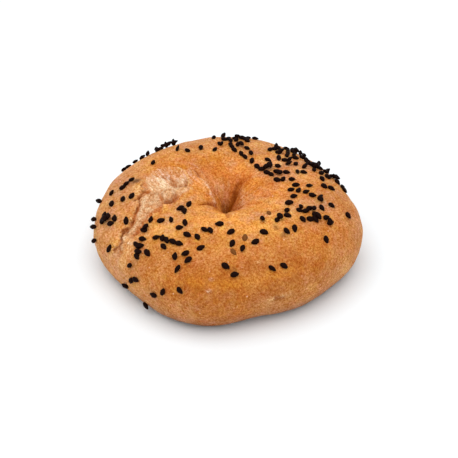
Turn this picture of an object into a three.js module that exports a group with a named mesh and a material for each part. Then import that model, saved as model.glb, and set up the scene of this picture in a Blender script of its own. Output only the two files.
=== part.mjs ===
// Acma: a soft ring of enriched bread, rolled from one rope of dough, lapped into a ring and baked
// until its hole has all but shut. It is one solid, in millimetres, +Z up, standing on its flat sole,
// with the origin at the middle of its box, at the sole. The front is -Y. On the left (-X) half of
// the top the lapped end of the rope has torn open.
import * as THREE from "three";

// ---------- Driving dimensions ----------
const OVAL = { x: 0.1, y: -5.8, width: 94, depth: 94 }; // the plain oval that the outline swells from
const HEIGHT = 33.5; // from the sole to the crest of an average section
const THROAT = { x: -0.3, y: -1.4, halfWidth: 2.6, halfLength: 4.2 }; // the hole at its narrowest

const AROUND = 104; // sections round the ring
const FUNNEL_STEPS = 14; // points from the throat up to the crest
const DOME_STEPS = 16; // points from the crest out to the brim
const FLANK_STEPS = 7; // points from the brim down to the sole
const SOLE_STEPS = 4; // points across the sole
const HEEL_STEPS = 5; // points from the sole back up to the throat

// Shares run from the throat's wall (0) to the outline (1), rises from the sole (0) to the crest (1).
const BRIM_RISE = 0.46;
const THROAT_RISE = 0.36;
const HEEL_SHARE = 0.14;

// Exponents of the superellipses that a section is made of: 2 is round, more is boxier.
const DOME_FULLNESS = 2.15;
const FLANK_FULLNESS = 2;
const HEEL_FULLNESS = 2;

const DEGREE = Math.PI / 180;

// ---------- What varies round the ring ----------
// A swelling is 1 at its own bearing and fades over its spread, both in degrees from +X.
const swelling = (bearing, { at, spread }) => {
  const away = ((((bearing - at) % 360) + 540) % 360) - 180;
  return Math.exp(-((away / spread) ** 2));
};
const varied = (usual, swellings) => (bearing) =>
  swellings.reduce((sum, one) => sum + one.by * swelling(bearing, one), usual);

// How far the outline stands out from the plain oval, every tenth of a turn from +X.
const BULGES = [7.5, 6, 7, 7.5, 9, 7, -1, -0.5, -5, -0.5];
const outlineExtra = varied(
  0,
  BULGES.map((by, i) => ({ at: (360 * i) / BULGES.length, spread: 24, by })),
);
const thickness = varied(HEIGHT, [{ at: 115, spread: 45, by: 0.3 }]);
const crestShare = varied(0.29, [
  { at: 88, spread: 48, by: 0.25 },
  { at: 8, spread: 42, by: 0.16 },
]);
const footShare = varied(0.83, [{ at: 287, spread: 32, by: -0.08 }]);
const funnelFullness = varied(2.9, [{ at: 95, spread: 50, by: -1 }]);

// ---------- Folds of the top ----------
// Each follows a path in plan, measured from the throat, and raises (or sinks) the top by so many
// millimetres. It keeps its full height over the core on both sides of the path and fades over the
// fade beyond it.
const FOLDS = [
  // the open seam where the lapped end has torn, a shallow trough
  {
    path: [[-19, 11], [-25, 7], [-30, 1], [-32.5, -7], [-35, -13], [-39, -19], [-43.5, -23]],
    core: 3,
    fade: 2.2,
    by: -1.5,
  },
  // the lump of torn crumb that fills the trough's inner bend
  { path: [[-23.5, -1], [-24, 1]], core: 1.5, fade: 3, by: 1.2 },
  // the free edge of the flap, running down into the funnel
  { path: [[-14, 16], [-9.5, 9], [-6.8, 4.5], [-4.5, 1.5]], core: 0.6, fade: 2.2, by: 1.2 },
  // the crease where the funnel's back and right walls meet
  { path: [[5.4, 14], [4.8, 10], [2.2, 6]], core: 0.3, fade: 3, by: -1.2 },
  // the shallow valley from the funnel out to the right
  { path: [[8, -7], [20, -9], [32, -7], [45, -2]], core: 1, fade: 3.5, by: -0.9 },
];

const smooth = (t) => t * t * (3 - 2 * t);
const clamp01 = (t) => Math.min(1, Math.max(0, t));

const distanceToPath = (x, y, path) => {
  let nearest = Infinity;
  for (let i = 1; i < path.length; i++) {
    const [[ax, ay], [bx, by]] = [path[i - 1], path[i]];
    const [dx, dy] = [bx - ax, by - ay];
    const along = clamp01(((x - ax) * dx + (y - ay) * dy) / (dx * dx + dy * dy));
    nearest = Math.min(nearest, Math.hypot(x - ax - along * dx, y - ay - along * dy));
  }
  return nearest;
};

const foldHeight = (x, y) =>
  FOLDS.reduce((sum, { path, core, fade, by }) => {
    const away = distanceToPath(x - THROAT.x, y - THROAT.y, path);
    const beyond = clamp01((away - core) / fade);
    return sum + by * (1 - smooth(beyond));
  }, 0);

// ---------- One section of the ring ----------
// Points on a quarter of a superellipse, from (0, 1) to (1, 0), leaving the last one out.
const quarter = (fullness, steps) =>
  Array.from({ length: steps }, (_, i) => {
    const turn = (i / steps) * 90 * DEGREE;
    return [Math.sin(turn) ** (2 / fullness), Math.cos(turn) ** (2 / fullness)];
  });

const sectionAt = (bearing) => {
  const crest = crestShare(bearing);
  const foot = footShare(bearing);
  const funnel = quarter(funnelFullness(bearing), FUNNEL_STEPS).map(([a, b]) => ({
    share: crest * (1 - b),
    rise: THROAT_RISE + (1 - THROAT_RISE) * a,
  }));
  const dome = quarter(DOME_FULLNESS, DOME_STEPS).map(([a, b]) => ({
    share: crest + (1 - crest) * a,
    rise: BRIM_RISE + (1 - BRIM_RISE) * b,
  }));
  const flank = quarter(FLANK_FULLNESS, FLANK_STEPS).map(([a, b]) => ({
    share: foot + (1 - foot) * b,
    rise: BRIM_RISE * (1 - a),
  }));
  const sole = Array.from({ length: SOLE_STEPS }, (_, i) => ({
    share: foot + ((HEEL_SHARE - foot) * i) / SOLE_STEPS,
    rise: 0,
  }));
  const heel = quarter(HEEL_FULLNESS, HEEL_STEPS).map(([a, b]) => ({
    share: HEEL_SHARE * (1 - a),
    rise: THROAT_RISE * (1 - b),
  }));
  return [...funnel, ...dome, ...flank, ...sole, ...heel];
};

// ---------- The ring ----------
const pointAt = (bearing, { share, rise }) => {
  const [cos, sin] = [Math.cos(bearing * DEGREE), Math.sin(bearing * DEGREE)];
  const extra = outlineExtra(bearing);
  const inner = [THROAT.x + THROAT.halfWidth * cos, THROAT.y + THROAT.halfLength * sin];
  const x = inner[0] + share * (OVAL.x + (OVAL.width / 2 + extra) * cos - inner[0]);
  const y = inner[1] + share * (OVAL.y + (OVAL.depth / 2 + extra) * sin - inner[1]);
  const folded = smooth(clamp01((rise - BRIM_RISE) / (1 - BRIM_RISE)));
  return new THREE.Vector3(x, y, rise * thickness(bearing) + folded * foldHeight(x, y));
};

const breadRing = () => {
  const sections = Array.from({ length: AROUND }, (_, i) => {
    const bearing = (360 * i) / AROUND;
    return sectionAt(bearing).map((place) => pointAt(bearing, place));
  });
  const perSection = sections[0].length;
  const faces = [];
  for (let i = 0; i < AROUND; i++) {
    for (let j = 0; j < perSection; j++) {
      const [here, next] = [i * perSection, ((i + 1) % AROUND) * perSection];
      const after = (j + 1) % perSection;
      faces.push(here + j, here + after, next + after, here + j, next + after, next + j);
    }
  }
  const geometry = new THREE.BufferGeometry().setFromPoints(sections.flat());
  geometry.setIndex(faces);
  geometry.computeBoundingBox();
  const middle = geometry.boundingBox.getCenter(new THREE.Vector3());
  geometry.translate(-middle.x, -middle.y, 0);
  geometry.computeVertexNormals();
  return geometry;
};

const crust = new THREE.MeshStandardMaterial({ color: 0xc87d3c, roughness: 0.55, metalness: 0 });
const bread = new THREE.Mesh(breadRing(), crust);
bread.name = "bread";

const acma = new THREE.Group();
acma.add(bread);
export default acma;
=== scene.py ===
"""The looks of an acma: a soft, egg-washed bread ring with nigella seeds, on a white table.

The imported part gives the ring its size, its place and its broad shape. This script works a finer
skin over it, with the torn seam, the creases and the baked grain, strews the seeds, and sets up
the table, the light and the camera. The bread and its seeds are worked in millimetres, with places
measured from the middle of the hole. Blender's own data and the studio are in metres.
"""

import logging
import math
import random
from contextlib import contextmanager
from dataclasses import dataclass, field
from enum import Enum
from typing import Iterator, Sequence

import bpy
import numpy as np
from mathutils import Matrix, Quaternion, Vector, noise
from mathutils.bvhtree import BVHTree


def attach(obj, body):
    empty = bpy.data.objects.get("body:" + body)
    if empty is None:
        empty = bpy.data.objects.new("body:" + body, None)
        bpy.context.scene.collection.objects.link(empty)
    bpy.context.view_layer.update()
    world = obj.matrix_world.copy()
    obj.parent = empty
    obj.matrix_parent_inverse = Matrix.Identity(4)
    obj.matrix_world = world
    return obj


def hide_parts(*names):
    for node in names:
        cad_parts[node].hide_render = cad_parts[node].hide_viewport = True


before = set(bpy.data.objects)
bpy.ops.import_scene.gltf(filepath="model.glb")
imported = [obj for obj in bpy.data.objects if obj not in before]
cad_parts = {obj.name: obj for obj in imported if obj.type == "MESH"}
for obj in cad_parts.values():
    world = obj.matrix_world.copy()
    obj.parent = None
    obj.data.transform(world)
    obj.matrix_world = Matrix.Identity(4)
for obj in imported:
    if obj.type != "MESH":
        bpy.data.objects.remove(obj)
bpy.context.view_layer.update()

MM = 0.001
Plan = tuple[float, float]
Colour = tuple[int, int, int]
Factors = tuple[float, float, float, float]
Array = np.ndarray
Piece = bpy.types.Object
Tree = bpy.types.NodeTree
Socket = bpy.types.NodeSocket
Material = bpy.types.Material
Value = Socket | float | Sequence[float]
HOLE = np.array([-0.4, -1.0])  # the middle of the hole
LOG = logging.getLogger("acma")


# ---------- Work at the bench: selecting, editing, reading, moving ----------


def work_on(piece: Piece) -> None:
    """Deselects everything and makes one piece the selected, active one.

    Args:
        piece: the object that the next operators act on.
    """
    bpy.ops.object.select_all(action="DESELECT")
    piece.select_set(True)
    bpy.context.view_layer.objects.active = piece


@contextmanager
def editing(piece: Piece, faces: Array | None = None) -> Iterator[None]:
    """Opens a piece in edit mode, with all or some of it selected, and closes it again.

    Args:
        piece: the mesh object to edit.
        faces: for each face, whether it is selected; all are when this is left out.
    """
    work_on(piece)
    bpy.ops.object.mode_set(mode="EDIT")
    bpy.ops.mesh.select_all(action="SELECT" if faces is None else "DESELECT")
    if faces is not None:
        bpy.ops.object.mode_set(mode="OBJECT")
        piece.data.polygons.foreach_set("select", faces)
        bpy.ops.object.mode_set(mode="EDIT")
    yield
    bpy.ops.object.mode_set(mode="OBJECT")


def rows_of(items: bpy.types.bpy_prop_collection, name: str) -> Array:
    """A vector that each item of a mesh has, as rows of x, y and z.

    Args:
        items: the mesh's vertices, normals or faces.
        name: the vector's name.

    Returns:
        One row for each item.
    """
    rows = np.empty(len(items) * 3)
    items.foreach_get(name, rows)
    return rows.reshape(-1, 3)


def move_to(piece: Piece, places: Array) -> None:
    """Puts the vertices of a piece at new places, given as rows of x, y and z in millimetres."""
    piece.data.vertices.foreach_set("co", (places * MM).ravel())
    piece.data.update()


# ---------- Shapes in numbers ----------


def smoothstep(low: float, high: float, value: Array) -> Array:
    """An even ramp from 0 at low to 1 at high, level at both ends."""
    t = np.clip((value - low) / (high - low), 0, 1)
    return t * t * (3 - 2 * t)


def fading(distance: Array, reach: float) -> Array:
    """A bell that is 1 at no distance and has all but gone at twice the reach."""
    return np.exp(-((distance / reach) ** 2))


@dataclass(frozen=True)
class Bumps:
    """Soft random unevenness.

    strength is how high its bumps are and size how far it is from one to the next. seed picks one
    pattern of many, and octaves is how many ever finer layers there are.
    """

    strength: float
    size: float
    seed: int
    octaves: int = 1

    def at(self, places: Array) -> Array:
        """How high the bumps are at some places.

        Args:
            places: rows of x, y and z.

        Returns:
            One height for each place, from about -strength to strength.
        """
        shift = Vector((17.3 * self.seed, -9.1 * self.seed, 5.7 * self.seed))
        fall, finer = 0.9, 2.1  # each layer is 2.1 times as fine and about half as high
        spots = (Vector(place) + shift for place in places / self.size)
        return self.strength * np.array([noise.fractal(spot, fall, finer, self.octaves) for spot in spots])


def from_path(plan: Array, path: Sequence[Plan]) -> tuple[Array, Array]:
    """Where places are beside a path, seen from above.

    Args:
        plan: rows of x and y.
        path: the path's corners.

    Returns:
        How far each place is from the path, and whether it is on the path's left.
    """
    corners = np.array(path)
    nearest = np.full(len(plan), np.inf)
    on_left = np.ones(len(plan), bool)
    for start, end in zip(corners[:-1], corners[1:]):
        run, offset = end - start, plan - start
        along = np.clip(offset @ run / (run @ run), 0, 1)
        away = np.linalg.norm(offset - along[:, None] * run, axis=1)
        turns_left = run[0] * offset[:, 1] > run[1] * offset[:, 0]
        on_left = np.where(away < nearest, turns_left, on_left)
        nearest = np.minimum(nearest, away)
    return nearest, on_left


def depth_inside(plan: Array, outline: Sequence[Plan]) -> Array:
    """How deep each place lies inside a closed outline, seen from above.

    Args:
        plan: rows of x and y.
        outline: the outline's corners.

    Returns:
        One distance for each place, negative outside.
    """
    closed = [*outline, outline[0]]
    x, y = plan.T
    inside = np.zeros(len(plan), bool)
    for (ax, ay), (bx, by) in zip(closed[:-1], closed[1:]):
        if ay != by:
            crossing = ax + (y - ay) / (by - ay) * (bx - ax)
            inside ^= ((ay > y) != (by > y)) & (x < crossing)
    return from_path(plan, closed)[0] * np.where(inside, 1, -1)


# ---------- Node trees ----------


class Graph:
    """Places nodes in a node tree and links them."""

    def __init__(self, tree: Tree) -> None:
        """Starts on an empty tree."""
        self.tree = tree
        tree.nodes.clear()

    def add(self, kind: str, inputs: dict | None = None, **settings: object) -> bpy.types.Node:
        """Adds one node.

        Args:
            kind: the node's type.
            inputs: for each input, by name or number, a value or a socket to link.
            settings: the node's own properties.

        Returns:
            The new node.
        """
        node = self.tree.nodes.new(kind)
        for name, value in settings.items():
            setattr(node, name, value)
        for name, value in (inputs or {}).items():
            if isinstance(value, Socket):
                self.tree.links.new(value, node.inputs[name])
            else:
                node.inputs[name].default_value = value
        return node

    def math(self, operation: str, a: Value, b: Value) -> Socket:
        """A Math node's result."""
        return self.add("ShaderNodeMath", {0: a, 1: b}, operation=operation).outputs[0]

    def times(self, a: Value, b: Value) -> Socket:
        """The product of two values."""
        return self.math("MULTIPLY", a, b)

    def ramp(self, value: Value, low: Value, high: Value, bottom: float = 0.0, top: float = 1.0) -> Socket:
        """Maps low..high onto bottom..top, held level outside."""
        inputs = {0: value, 1: low, 2: high, 3: bottom, 4: top}
        return self.add("ShaderNodeMapRange", inputs).outputs[0]

    def vector(self, operation: str, a: Value, b: Value) -> Socket:
        """A Vector Math node's result."""
        return self.add("ShaderNodeVectorMath", {0: a, 1: b}, operation=operation).outputs[0]

    def mix(self, factor: Value, a: Value, b: Value, blend: str = "MIX") -> Socket:
        """Mixes two colours."""
        settings = {"data_type": "RGBA", "blend_type": blend, "clamp_factor": True}
        return self.add("ShaderNodeMix", {0: factor, 6: a, 7: b}, **settings).outputs[2]

    def vary(self, colour: Value, pattern: Value, low: Value, high: Value) -> Socket:
        """Multiplies a colour by low factors where a pattern is 0 and by high ones where it is 1."""
        return self.mix(1.0, colour, self.mix(pattern, low, high), "MULTIPLY")

    def noted(self, name: str) -> Socket:
        """What was noted on the mesh under a name."""
        return self.add("ShaderNodeAttribute", attribute_name=name).outputs["Fac"]

    def place(self, group: Tree, *values: float) -> Socket:
        """Places a node group, gives its inputs their values in order, and gives its result."""
        return self.add("ShaderNodeGroup", dict(enumerate(values)), node_tree=group).outputs[0]

    def surface(self, inputs: dict) -> None:
        """Ends a material with one Principled shader."""
        shader = self.add("ShaderNodeBsdfPrincipled", inputs)
        self.add("ShaderNodeOutputMaterial", {"Surface": shader.outputs[0]})


def paint(red: int, green: int, blue: int) -> Factors:
    """A colour given in 0-255 screen values, as the linear one that shaders take."""
    screen = [value / 255 for value in (red, green, blue)]
    return (*(s / 12.92 if s <= 0.04 else ((s + 0.055) / 1.055) ** 2.4 for s in screen), 1.0)


def new_material(name: str) -> tuple[Material, Graph]:
    """Starts a material.

    Args:
        name: what the material is called.

    Returns:
        The material, and a graph to fill its node tree with.
    """
    material = bpy.data.materials.new(name)
    material.use_nodes = True
    return material, Graph(material.node_tree)


def new_group(name: str, usual: dict[str, float]) -> tuple[Graph, bpy.types.bpy_prop_collection, Socket]:
    """Starts a shader node group that gives one value, called Value.

    Args:
        name: what the group is called.
        usual: each number it takes, with its usual value.

    Returns:
        A graph to fill the group with, what the group is given, and the place on the piece.
    """
    tree = bpy.data.node_groups.new(name, "ShaderNodeTree")
    for label, value in usual.items():
        socket = tree.interface.new_socket(label, in_out="INPUT", socket_type="NodeSocketFloat")
        socket.default_value = value
    tree.interface.new_socket("Value", in_out="OUTPUT", socket_type="NodeSocketFloat")
    graph = Graph(tree)
    given = graph.add("NodeGroupInput").outputs
    return graph, given, graph.add("ShaderNodeTexCoord").outputs["Object"]


def patchiness_group() -> Tree:
    """Uneven patches with ever finer speckle in them, from 0 to 1, as heat leaves them on dough.

    Returns:
        The node group.
    """
    usual = {"Size": 4.0, "Evenness": 0.3, "Speckle": 0.85, "Seed": 0.0}
    graph, given, here = new_group("patchiness", usual)
    inputs = {"Vector": here, "W": given["Seed"], "Detail": 5.0, "Roughness": given["Speckle"]}
    inputs["Scale"] = graph.math("DIVIDE", 1 / MM, given["Size"])
    patches = graph.add("ShaderNodeTexNoise", inputs, noise_dimensions="4D").outputs[0]
    half = graph.times(given["Evenness"], 0.5)
    low, high = graph.math("SUBTRACT", 0.5, half), graph.math("ADD", 0.5, half)
    graph.add("NodeGroupOutput", {0: graph.ramp(patches, low, high)})
    return graph.tree


def pinpoints_group() -> Tree:
    """Sparse small round spots, 1 at the middle of each: baked specks, pits or glints.

    Returns:
        The node group.
    """
    usual = {"Spacing": 3.0, "Radius": 0.3, "Share": 0.5, "Seed": 0.0}
    graph, given, here = new_group("pinpoints", usual)
    scale = graph.math("DIVIDE", 1 / MM, given["Spacing"])
    inputs = {"Vector": here, "W": given["Seed"], "Scale": scale}
    cells = graph.add("ShaderNodeTexVoronoi", inputs, voronoi_dimensions="4D").outputs
    reach = graph.math("DIVIDE", given["Radius"], given["Spacing"])
    spot = graph.ramp(cells["Distance"], graph.times(reach, 0.4), reach, 1.0, 0.0)
    lot = graph.add("ShaderNodeSeparateColor", {0: cells["Color"]}).outputs[0]
    graph.add("NodeGroupOutput", {0: graph.times(spot, graph.math("LESS_THAN", lot, given["Share"]))})
    return graph.tree


def strands_group() -> Tree:
    """Drawn-out strands that run one way over the top, from 0 between them to 1 on them.

    Returns:
        The node group.
    """
    graph, given, here = new_group("strands", {"Size": 0.8, "Stretch": 7.0, "Turn": 0.0})
    sway = graph.add("ShaderNodeTexNoise", {"Vector": here, "Scale": 220.0, "Detail": 1.0}).outputs["Color"]
    swayed = graph.vector("ADD", here, graph.vector("MULTIPLY", sway, (2 * MM, 2 * MM, 0.0)))
    inputs = {"Vector": swayed, "Angle": given["Turn"]}
    turned = graph.add("ShaderNodeVectorRotate", inputs, rotation_type="Z_AXIS").outputs[0]
    share = graph.math("DIVIDE", 1.0, given["Stretch"])
    shares = graph.add("ShaderNodeCombineXYZ", {0: share, 1: 1.0, 2: 0.3}).outputs[0]
    scale = graph.math("DIVIDE", 1 / MM, given["Size"])
    inputs = {"Vector": graph.vector("MULTIPLY", turned, shares), "Scale": scale, "Detail": 3.0}
    strands = graph.add("ShaderNodeTexNoise", inputs | {"Roughness": 0.6}).outputs[0]
    graph.add("NodeGroupOutput", {0: graph.ramp(strands, 0.36, 0.64)})
    return graph.tree


# ---------- Finishes ----------


@dataclass
class Patterns:
    """The node groups that finishes are made with, each built once."""

    patchiness: Tree = field(default_factory=patchiness_group)
    pinpoints: Tree = field(default_factory=pinpoints_group)
    strands: Tree = field(default_factory=strands_group)


@dataclass(frozen=True)
class CrustFinish:
    """Egg-washed crust, golden on top, dustier at the rim and the sole, with pale crumb in the tear; its
    colours also paint sheen, highlights and shade.

    From browned to stain, each colour has the name under which the ring notes how much of it shows.
    """

    golden: Colour = (222, 152, 76)
    # browning of the crust, deepened on the lower front and right as painted shade
    browned_and_shaded: Colour = (188, 111, 41)
    warm: Colour = (220, 127, 46)
    # a painted highlight, bright gold, on the front lobe's top by the hole
    glazed: Colour = (242, 166, 76)
    # dust on the crust, also used as painted sheen along the back rim
    dust_and_sheen: Colour = (203, 143, 90)
    # the bottom's dustier colour, darker than the top partly as painted shade
    sole: Colour = (176, 118, 76)
    rosy: Colour = (232, 172, 122)
    baked: Colour = (198, 112, 34)
    # orange crumb at the crust's edge, also painted shade under the ledge
    border: Colour = (196, 108, 38)
    # orange crust; in sunken creases its darker orange is partly painted shade
    orange: Colour = (188, 98, 28)
    amber: Colour = (206, 126, 28)
    gold: Colour = (240, 188, 112)
    # painted shade in the seam's cracks, under its ledge, and in creases and pits
    ledge: Colour = (132, 66, 22)
    # painted shade down the throat
    pinch: Colour = (136, 62, 0)
    # small marks, and painted shadow: the contact shadow at the foot and shade among dense seeds
    stain_and_shade: Colour = (92, 60, 36)
    crumb: Colour = (236, 182, 132)
    crumb_light: Colour = (255, 230, 190)
    crumb_dark: Colour = (170, 105, 56)
    fleck: Colour = (150, 70, 24)
    # painted highlights: small pale spots of sheen
    glint: Colour = (240, 200, 150)

    def lay(self, graph: Graph, colour: Value, *names: str) -> Socket:
        """Lays colours over another one, each as much as is noted on the mesh under its name.

        Args:
            graph: the material's graph.
            colour: the colour underneath.
            names: the names of the colours, the lowest first.

        Returns:
            The colour on top.
        """
        for name in names:
            colour = graph.mix(graph.noted(name), colour, paint(*getattr(self, name)))
        return colour

    def crust_colour(self, graph: Graph, patterns: Patterns, tone: Socket) -> Socket:
        """The bare crust, mottled by the oven, with its painted highlight, sheen, glints and shade.

        Args:
            graph: the material's graph.
            patterns: the shared node groups.
            tone: patches that are deeper where they are 0 and yellower where they are 1.

        Returns:
            The colour.
        """
        broad = graph.place(patterns.patchiness, 13.0, 0.36, 0.5, 21.0)
        dusting = graph.place(patterns.patchiness, 6.5, 0.36, 0.62, 9.0)
        mottles = graph.place(patterns.patchiness, 2.6, 0.34, 0.7, 27.0)
        flecks = graph.place(patterns.pinpoints, 2.6, 0.5, 0.4, 2.0)
        # Glints: painted highlights, small pale spots of sheen on the egg wash.
        glints = graph.place(patterns.pinpoints, 1.8, 0.36, 0.3, 6.0)
        # Browning, glaze, dust and the bottom colour also paint light: shade low on the front, right and
        # bottom, a highlight by the hole and sheen at the back rim.
        colour = self.lay(graph, paint(*self.golden), "browned_and_shaded", "warm", "glazed", "dust_and_sheen", "sole", "rosy")
        deeper, yellower = (0.84, 0.69, 0.42, 1), (1.09, 1.18, 1.12, 1)
        colour = graph.vary(colour, tone, deeper, yellower)
        older, fresher = (0.90, 0.84, 0.76, 1), (1.09, 1.12, 1.06, 1)
        colour = graph.vary(colour, broad, older, fresher)
        dulled = graph.ramp(graph.noted("browned_and_shaded"), 0.0, 1.0, 0.75, 0.375)
        dust = graph.times(graph.ramp(dusting, 0.4, 1.0), dulled)
        colour = graph.mix(dust, colour, paint(*self.dust_and_sheen))
        colour = self.lay(graph, colour, "baked")
        pinker, yolkier = (1.05, 0.94, 1.14, 1), (0.97, 1.04, 0.80, 1)
        colour = graph.vary(colour, mottles, pinker, yolkier)
        colour = graph.mix(graph.times(flecks, 0.7), colour, paint(*self.fleck))
        return graph.mix(graph.times(glints, 0.7), colour, paint(*self.glint))

    def crumb_colour(self, graph: Graph, patterns: Patterns, drawn: Socket) -> Socket:
        """Torn crumb, with pores and clots in it, more even where it is drawn out.

        Args:
            graph: the material's graph.
            patterns: the shared node groups.
            drawn: how much the crumb is drawn out.

        Returns:
            The colour.
        """
        pores = graph.place(patterns.patchiness, 0.8, 0.22, 0.8, 13.0)
        clots = graph.place(patterns.patchiness, 2.4, 0.3, 0.7, 17.0)
        even = graph.add("ShaderNodeMix", {0: graph.times(drawn, 0.7), 2: pores, 3: 0.75}).outputs[0]
        crumb = graph.mix(even, paint(*self.crumb_dark), paint(*self.crumb))
        crumb = graph.mix(graph.ramp(clots, 0.4, 1.0, 0.0, 0.45), crumb, paint(*self.crumb_light))
        return graph.mix(graph.ramp(clots, 0.35, 0.0, 0.0, 0.5), crumb, paint(*self.border))

    def material(self, patterns: Patterns) -> Material:
        """Builds the crust's material.

        Args:
            patterns: the shared node groups.

        Returns:
            The material.
        """
        material, graph = new_material("baked_crust")
        tone = graph.place(patterns.patchiness, 5.0, 0.36, 0.62, 0.0)
        grain = graph.place(patterns.patchiness, 0.85, 0.21, 0.85, 4.0)
        fibre = graph.place(patterns.strands, 0.9, 8.0, math.radians(57))
        drawn, torn, light = (graph.noted(name) for name in ("drawn", "torn", "light"))
        crumb_light = paint(*self.crumb_light)

        crust = self.crust_colour(graph, patterns, tone)
        colour = graph.mix(torn, crust, self.crumb_colour(graph, patterns, drawn))
        light_strands = graph.times(graph.ramp(fibre, 0.55, 0.95, 0.0, 0.7), drawn)
        dark_strands = graph.times(graph.ramp(fibre, 0.45, 0.05, 0.0, 0.75), drawn)
        colour = graph.mix(light_strands, colour, crumb_light)
        colour = graph.mix(dark_strands, colour, paint(*self.border))
        colour = self.lay(graph, colour, "border", "orange", "amber", "gold")
        # Pale marks and crumb, and painted light on the throat's pleat ridges.
        pale_and_lit = graph.times(graph.noted("pale"), graph.ramp(grain, 0.0, 0.6, 0.3, 1.0))
        colour = graph.mix(pale_and_lit, colour, crumb_light)
        # Painted shade: in the seam's cracks and creases, and down the throat.
        colour = self.lay(graph, colour, "ledge", "pinch")
        darker = graph.mix(light, (0.70, 0.43, 0.0, 1), (0.74, 0.62, 0.48, 1))
        lighter = graph.mix(light, (1.30, 1.64, 2.8, 1), (1.26, 1.38, 1.52, 1))
        # Last come marks and painted shadow: the foot's contact shadow and shade among dense seeds.
        colour = self.lay(graph, graph.vary(colour, grain, darker, lighter), "stain_and_shade")

        rough = graph.math("ADD", graph.ramp(grain, 0.0, 1.0, 0.7, 0.5), graph.times(torn, 0.25))
        height = graph.math("ADD", grain, graph.times(tone, 0.8))
        height = graph.math("ADD", height, graph.times(graph.times(fibre, drawn), 1.5))
        bump = graph.add("ShaderNodeBump", {"Strength": 0.6, "Distance": 0.2 * MM, "Height": height})
        graph.surface(
            {
                "Base Color": colour,
                "Roughness": rough,
                "Normal": bump.outputs[0],
                "Subsurface Weight": 0.08,
                "Subsurface Radius": (1.2 * MM, 0.5 * MM, 0.2 * MM),
                "Subsurface Scale": 1.0,
                "Specular IOR Level": 0.08,
            }
        )
        return material


@dataclass(frozen=True)
class SeedFinish:
    """The matt, finely netted coat of a nigella seed."""

    name: str = "seed_coat"
    coat: Colour = (16, 3, 1)
    worn: Colour = (29, 10, 6)

    def material(self) -> Material:
        """Builds the seeds' material.

        Returns:
            The material.
        """
        material, graph = new_material(self.name)
        here = graph.add("ShaderNodeTexCoord").outputs["Object"]
        net = graph.add("ShaderNodeTexVoronoi", {"Vector": here, "Scale": 4 / MM}).outputs["Distance"]
        colour = graph.mix(net, paint(*self.coat), paint(*self.worn))
        bump = graph.add("ShaderNodeBump", {"Strength": 0.4, "Distance": 0.1 * MM, "Height": net}).outputs[0]
        graph.surface({"Base Color": colour, "Roughness": 0.55, "Normal": bump, "Specular IOR Level": 0.04})
        return material


@dataclass(frozen=True)
class TableFinish:
    """A plain white table top."""

    white: Factors = (0.875, 0.92, 0.945, 1)

    def material(self) -> Material:
        """Builds the table's material.

        Returns:
            The material.
        """
        material, graph = new_material("white_table")
        graph.surface({"Base Color": self.white, "Roughness": 0.9, "Specular IOR Level": 0.0})
        return material


# ---------- Marks on the bread ----------


class Tint(Enum):
    """The colours that marks have, by the name they are noted under."""

    ROSY = "rosy"
    BAKED = "baked"
    PALE = "pale"
    GOLD = "gold"
    # orange crust, partly painted shade where its marks sink into creases
    ORANGE = "orange"
    AMBER = "amber"
    SHADE = "ledge"
    # painted shade on the throat's walls
    HOLLOW = "pinch"
    # seed-shaped marks, and painted shade among dense seeds
    STAIN = "stain_and_shade"


@dataclass(frozen=True)
class Mark:
    """A crease, rim, smear or patch that follows a path over the crust.

    reach is how far it spreads to each side, strength how much of its tint shows and rise how far
    it stands up; a crease sinks. at_height keeps it to one height on the side of the ring.
    """

    path: Sequence[Plan]
    reach: float
    strength: float
    rise: float = 0.0
    at_height: float | None = None

    def cover(self, plan: Array, height: Array) -> Array:
        """How much of the mark is at each place, from 0 to 1.

        Args:
            plan: rows of x and y.
            height: how high each place is.

        Returns:
            One number for each place.
        """
        cover = fading(from_path(plan, self.path)[0], self.reach)
        if self.at_height is None:
            return cover * smoothstep(14, 20, height)
        return cover * fading(height - self.at_height, max(1.2, self.reach))


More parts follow.
